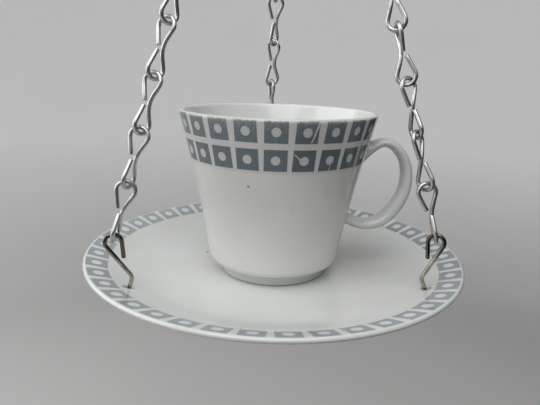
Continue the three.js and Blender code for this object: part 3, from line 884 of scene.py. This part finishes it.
def sHookLine(side):
    bow, lean, shankLean = sHook["bow"], sHook["lean"], sHook["shankLean"]
    toWall = (sHook["standoff"] + saucer["wall"] / 2) / math.cos(math.radians(shankLean))
    above = [sHook["tip"], (bow, -180 - lean), sHook["diagonal"][side], (bow, lean + shankLean), toWall]
    under = [sHook["shankRun"], (bow, sHook["underTurn"]), sHook["underRun"]]
    start = (-bow, -bow - sHook["tip"])
    inHole = bentWire(start, 90, above)[-1]
    return softLine(stoodUp(bentWire(start, 90, above + under) - inHole), **sHook["rows"])


def makeSHook(side):
    name = "s_hook_" + side
    line = sHookLine(side)
    tilt = math.radians(sHook["tilt"][side])
    lean = np.array([[math.cos(tilt), 0, math.sin(tilt)], [0, 1, 0], [-math.sin(tilt), 0, math.cos(tilt)]])
    roll = Matrix.Rotation(math.radians(sHook["roll"][side]), 3, Vector(joints[name]["axis"]))
    turn = np.array(roll) @ uprightTurn(sHook["azimuth"][side] + sHook["twist"][side]) @ lean
    path = line @ turn.T + np.array(joints[name]["pos_m"]) / mm
    flank = np.repeat((turn @ [0, 1, 0])[None], len(line), 0)
    mesh = wireMesh(name + "_wire", path, flank, sHook["wire"] / 2, sHook["sides"])
    addPiece(name + "_wire", mesh, darkReflectingWire, name, name)


# Jack chain: one wire bent to two loops, the lower one turned from the upper one, waist at the origin

link = {
    "wire": 1.5, "length": 20.7, "loop": 3.1, "loopTurn": 76,
    "waistOffset": 0.65, "waistHeight": 1.2, "endOffset": 1.25, "endHeight": 0.9,
    "count": 12, "sides": 16, "rows": {"rounding": 0.45, "longStep": 1.8, "turnStep": 11},
    "flankRun": 6.0,  # height over which the wire's flank turns from one loop's plane to the other's
    # Link and its turn about the chain, in between by even steps
    "twist": {
        "back": [(1, 90), (3, 104), (4, 136), (5, 164), (12, 265)],
        "left": [(1, 68), (2, 50), (3, 35), (5, 25), (12, -37)],
        "right": [(1, -57), (2, -12), (3, -28), (4, 28), (5, 14), (12, 27)],
    },
}


# The lean of a straight leg that leaves a point near the waist and touches the loop's circle
def legLean(offset, height):
    rise = link["length"] / 2 - link["loop"] - height
    return math.asin(link["loop"] / math.hypot(offset, rise)) - math.atan2(offset, rise)


# Upper loop in the XZ plane; the lower half is the same turned over about the line halfway between the
# planes. From half way down one leg to half way down the other the wire follows a cubic curve bent
# towards the waist.
def linkLine():
    centre = link["length"] / 2 - link["loop"]
    angle = np.linspace(math.pi + legLean(link["endOffset"], link["endHeight"]),
                        -legLean(link["waistOffset"], link["waistHeight"]), 60)
    loop = np.stack([link["loop"] * np.cos(angle), 0 * angle, centre + link["loop"] * np.sin(angle)], -1)
    waist = np.array([link["waistOffset"], 0, link["waistHeight"]])
    upper = np.concatenate([[[-link["endOffset"], 0, link["endHeight"]]], loop, [(loop[-1] + waist) / 2]])
    turn = math.radians(link["loopTurn"])
    over = np.array([[math.cos(turn), 0, 0], [math.sin(turn), 0, 0], [0, 0, -1]])
    lower = (upper @ over.T)[::-1]
    t = np.linspace(0, 1, 30)[1:-1, None]
    middle = ((1 - t) ** 3 * upper[-1] + 3 * t * (1 - t) ** 2 * waist
              + 3 * t ** 2 * (1 - t) * (over @ waist) + t ** 3 * lower[0])
    return softLine(np.concatenate([upper, middle, lower]), **link["rows"])


def makeLink(side, number, line):
    name = "link_%s_%02d" % (side, number)
    upward = np.array(joints[name]["axis"])
    twist = math.radians(np.interp(number, *np.array(link["twist"][side], float).T))
    level = uprightTurn(sHook["azimuth"][side] + 90) @ [1, 0, 0]
    level = unit(squareTo(level, upward))
    axisX = level * math.cos(twist) + np.cross(upward, level) * math.sin(twist)
    turn = np.column_stack([axisX, np.cross(upward, axisX), upward])
    half = np.clip(0.5 - line[:, 2:] / link["flankRun"], 0, 1)
    swing = half * math.radians(link["loopTurn"]) + math.pi / 2
    flank = np.concatenate([np.cos(swing), np.sin(swing), 0 * half], 1)
    path = line @ turn.T + np.array(joints[name]["pos_m"]) / mm
    mesh = wireMesh(name + "_wire", path, flank @ turn.T, link["wire"] / 2, link["sides"])
    addPiece(name + "_wire", mesh, zincWire, name, name)


# Ring and hanging hook

ring = {"wire": 2.0, "radius": 8.0, "columns": 72, "sides": 20}
hook = {
    "wire": 2.0, "upperBow": 9.0, "lowerBow": 5.0, "lean": 30.0, "tip": 2.0, "lowerTurn": 185.0,
    "rows": {"rounding": 0.3, "longStep": 1.6, "turnStep": 8}, "sides": 20,
}


def makeRing():
    low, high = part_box("ring")
    centre = np.array([0, 0, (low.z + high.z) / 2 / mm])
    angle = np.linspace(0, 2 * np.pi, ring["columns"], endpoint=False)
    line = centre + ring["radius"] * np.stack([np.cos(angle), 0 * angle, np.sin(angle)], -1)
    flank = np.repeat([[0.0, 1.0, 0.0]], len(line), 0)
    mesh = wireMesh("ring_wire", line, flank, ring["wire"] / 2, ring["sides"], joined=True)
    addPiece("ring_wire", mesh, zincWire, "ring", "ring")


# Bent in the YZ plane, with the origin under the wire at the top of the upper bow
def makeHook():
    upper, lower, lean = hook["upperBow"], hook["lowerBow"], hook["lean"]
    start = (upper, hook["wire"] / 2 - upper - hook["tip"])
    diagonal = (upper + lower) / math.tan(math.radians(lean))
    runs = [hook["tip"], (upper, 180 + lean), diagonal, (lower, -hook["lowerTurn"] - lean)]
    line = softLine(stoodUp(bentWire(start, 90, runs))[:, [1, 0, 2]], **hook["rows"])
    flank = np.repeat([[1.0, 0.0, 0.0]], len(line), 0)
    mesh = wireMesh("hanging_hook_wire", line, flank, hook["wire"] / 2, hook["sides"])
    addPiece("hanging_hook_wire", mesh, nickelWire, "hanging_hook", "hanging_hook")


makeCup()
makeHandle()
makeSaucer()
print("cup, handle and saucer made")
bentLine = linkLine()
for side in ("back", "left", "right"):
    makeSHook(side)
    for number in range(1, link["count"] + 1):
        makeLink(side, number, bentLine)
makeRing()
makeHook()
pad = frame["nodes"]["adhesive_pad"]
pad.data.materials.clear()
pad.data.materials.append(adhesive)
print("chains, hooks and ring made")

# Floor, backdrop and light, in metres

studio = {
    "floor": -0.66, "floorRadius": 0.75, "sweep": 0.55, "wallTop": 0.9, "columns": 96,
    "ground": linear(206, 205, 204), "wall": linear(150, 149, 149), "glow": (0.335, 0.335, 0.333),
    "bounce": (0.26, 0.26, 0.26),  # colour of both as they throw light back, where the others are as seen
    "wallRise": (-0.655, -0.4),  # heights between which the floor's look turns into the wall's
    "air": (0.93, 0.96, 1.0), "airLight": 0.04,
    "lamps": {
        "left": {"place": (-0.93, 0.0, 0.12), "size": 1.2, "power": 7.4},
        "front": {"place": (-0.09, -0.60, 0.56), "size": 1.15, "power": 8.8},
        "top": {"place": (0.0, 0.0, 0.75), "size": 0.9, "power": 1.6},
    },
    "target": (0, 0, -0.25),
}

# Dark card that only reflections see: a strip on the floor to the right, and an upright one
# that also stands round the front. Angles are where the strips begin and end.
card = {
    "near": 0.12, "radius": 0.95, "low": -0.64, "high": 0.1, "floorFrom": -68, "wallFrom": -128, "to": 56,
    "grey": linear(10, 10, 11), "black": (0.008, 0.008, 0.008), "columns": 48,
}


# Part of a turn of a flat ring or an upright wall: straight lines between two circles, each given by
# its radius and height
def cardStrip(name, start, first, last, felt):
    angle = np.radians(np.linspace(start, card["to"], card["columns"] + 1))
    circle = np.stack([np.cos(angle), np.sin(angle), 0 * angle], -1)
    verts = np.concatenate([radius * circle + [0, 0, height] for radius, height in (first, last)])
    index = np.arange(len(verts)).reshape(2, -1)
    quads = np.stack([index[0, :-1], index[1, :-1], index[1, 1:], index[0, 1:]], -1)
    mesh = bpy.data.meshes.new(name)
    mesh.from_pydata(verts.tolist(), [], quads.tolist())
    mesh.materials.append(felt)
    piece = addObject(name, mesh)
    piece.visible_camera = piece.visible_diffuse = piece.visible_shadow = False


def makeCard():
    finish = Finish("darkFelt")
    fibres = finish.noise(finish.objectPlace()[0], 2.0, 3.0) * 0.3
    felt = finish.finish(Base_Color=finish.mix(fibres, card["grey"], card["black"]), Roughness=0.95)
    foot = (card["radius"], card["low"])
    cardStrip("darkFloor", card["floorFrom"], (card["near"], card["low"]), foot, felt)
    cardStrip("darkWall", card["wallFrom"], foot, (card["radius"], card["high"]), felt)


# Pale paper; the wall has a glow of its own, which only the camera and reflections see
def paperFinish():
    finish = Finish("studioPaper")
    place, (x, y, z) = finish.objectPlace()
    low, high = studio["wallRise"]
    onWall = z.rise(low / mm, high / mm)
    pale = finish.mix(onWall - finish.noise(place, 180, 2.0) * 0.12, studio["ground"], studio["wall"])
    seen = finish.node("LightPath", out="Is Camera Ray").most(finish.node("LightPath", out="Is Glossy Ray"))
    base = finish.mix(seen, studio["bounce"], pale)
    glow = finish.mix(seen * onWall, (0, 0, 0), studio["glow"])
    return finish.finish(Base_Color=base, Roughness=0.9, Emission_Color=glow, Emission_Strength=1.0)


# A round sweep: a flat floor that turns up into an upright wall on a quarter circle
def makeSweep():
    radius, sweep, floor = studio["floorRadius"], studio["sweep"], studio["floor"]
    arc = np.linspace(-np.pi / 2, 0, 24)
    outer = np.stack([radius + sweep * np.cos(arc), floor + sweep * (1 + np.sin(arc))], -1)
    profile = np.concatenate([[[0, floor]], outer, [[radius + sweep, studio["wallTop"]]]])
    rings = turnedRings(profile[:, :1], profile[:, 1:], studio["columns"])
    index = np.arange(rings[..., 0].size).reshape(rings.shape[:2])
    beside = np.roll(index, -1, axis=1)
    quads = np.stack([index[1:-1], beside[1:-1], beside[2:], index[2:]], -1).reshape(-1, 4)
    middle = np.stack([index[0] * 0, beside[1], index[1]], -1)
    mesh = bpy.data.meshes.new("studioSweep")
    mesh.from_pydata(rings.reshape(-1, 3).tolist(), [], quads.tolist() + middle.tolist())
    mesh.shade_smooth()
    mesh.materials.append(paperFinish())
    addObject("studioSweep", mesh)


def makeLights():
    for name, lamp in studio["lamps"].items():
        light = bpy.data.lights.new(name, "AREA")
        light.shape, light.size, light.energy = "DISK", lamp["size"], lamp["power"]
        holder = addObject(name, light)
        aim = Vector(studio["target"]) - Vector(lamp["place"])
        holder.location = lamp["place"]
        holder.rotation_mode = "QUATERNION"
        holder.rotation_quaternion = aim.to_track_quat("-Z", "Y")
        holder.visible_camera = False
    world = bpy.data.worlds.new("studioAir")
    world.use_nodes = True
    back = world.node_tree.nodes["Background"]
    back.inputs["Color"].default_value = (*studio["air"], 1)
    back.inputs["Strength"].default_value = studio["airLight"]
    scene.world = world


makeSweep()
makeCard()
makeLights()
print("studio: %d lamps" % len(studio["lamps"]))
